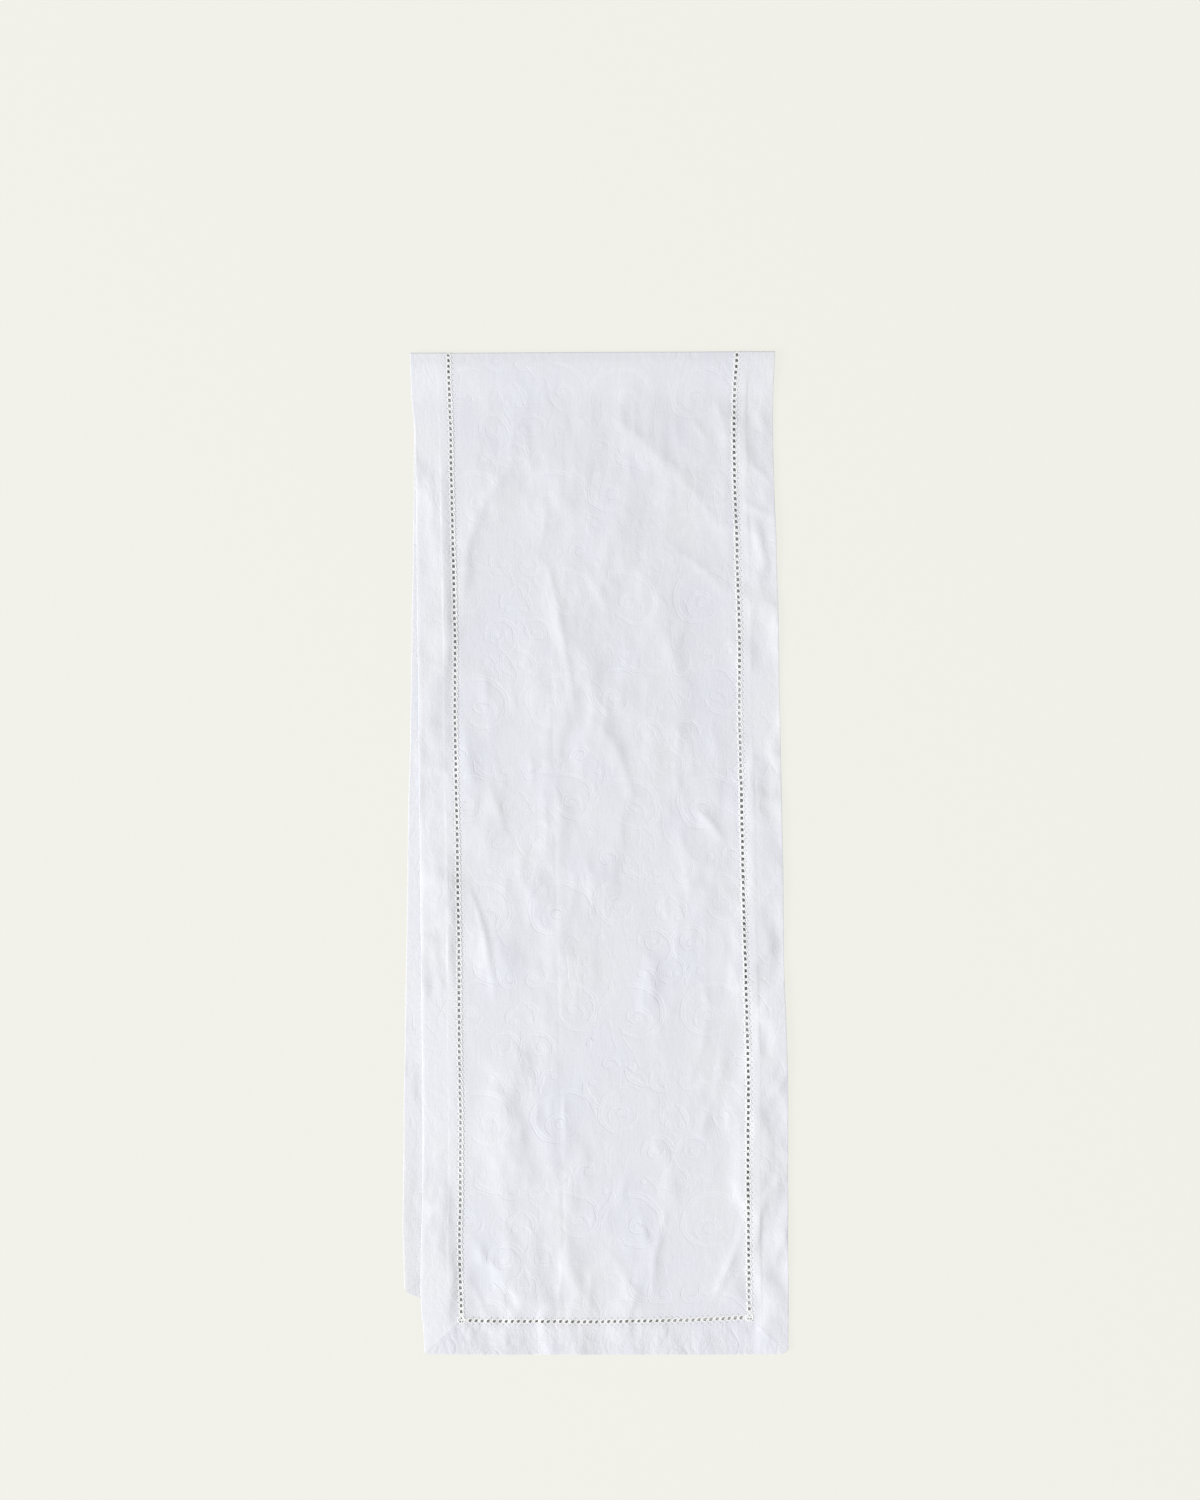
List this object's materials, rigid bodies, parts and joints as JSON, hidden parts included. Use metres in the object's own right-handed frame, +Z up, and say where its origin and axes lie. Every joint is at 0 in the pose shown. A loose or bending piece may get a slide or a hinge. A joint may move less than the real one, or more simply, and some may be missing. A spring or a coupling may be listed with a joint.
{
  "type": "table runner",
  "caption": "Long narrow white damask table runner with a mitred, hemstitched border, folded once across its width and lying flat.",
  "frame": {"origin": "middle of the folded runner's outline, on the surface it lies on", "axes": "+X along the fold line, +Y along the runner from the free ends towards the fold, +Z up, out of the surface it lies on"},
  "size_m": [0.4356, 1.1283, 0.007],
  "materials": {
    "damask_cloth": "white linen and cotton damask, soft low sheen, tone-on-tone woven scrolls",
    "hem_cloth": "the same white damask, turned over double",
    "hemstitch_thread": "white mercerised sewing thread"
  },
  "bodies": {
    "lower_leaf": {"lower_panel": "damask_cloth", "lower_hem_left": "hem_cloth", "lower_hem_right": "hem_cloth", "lower_hem_end": "hem_cloth", "lower_hemstitch_left": "hemstitch_thread", "lower_hemstitch_right": "hemstitch_thread", "lower_hemstitch_end": "hemstitch_thread", "lower_mitre_seam_left": "hemstitch_thread", "lower_mitre_seam_right": "hemstitch_thread", "fold_panel": "damask_cloth", "fold_hem_left": "hem_cloth", "fold_hem_right": "hem_cloth", "fold_hemstitch_left": "hemstitch_thread", "fold_hemstitch_right": "hemstitch_thread"},
    "upper_leaf": {"upper_panel": "damask_cloth", "upper_hem_left": "hem_cloth", "upper_hem_right": "hem_cloth", "upper_hem_end": "hem_cloth", "upper_hemstitch_left": "hemstitch_thread", "upper_hemstitch_right": "hemstitch_thread", "upper_hemstitch_end": "hemstitch_thread", "upper_mitre_seam_left": "hemstitch_thread", "upper_mitre_seam_right": "hemstitch_thread"}
  },
  "joints": [
    {"name": "fold_opening", "type": "hinge", "parent": "lower_leaf", "child": "upper_leaf", "pos_m": [0, 0.56024, 0.0035], "axis": [-1, 0, 0], "range_deg": [0, 179.95], "deforming": ["fold_panel", "fold_hem_left", "fold_hem_right", "fold_hemstitch_left", "fold_hemstitch_right"]}
  ]
}
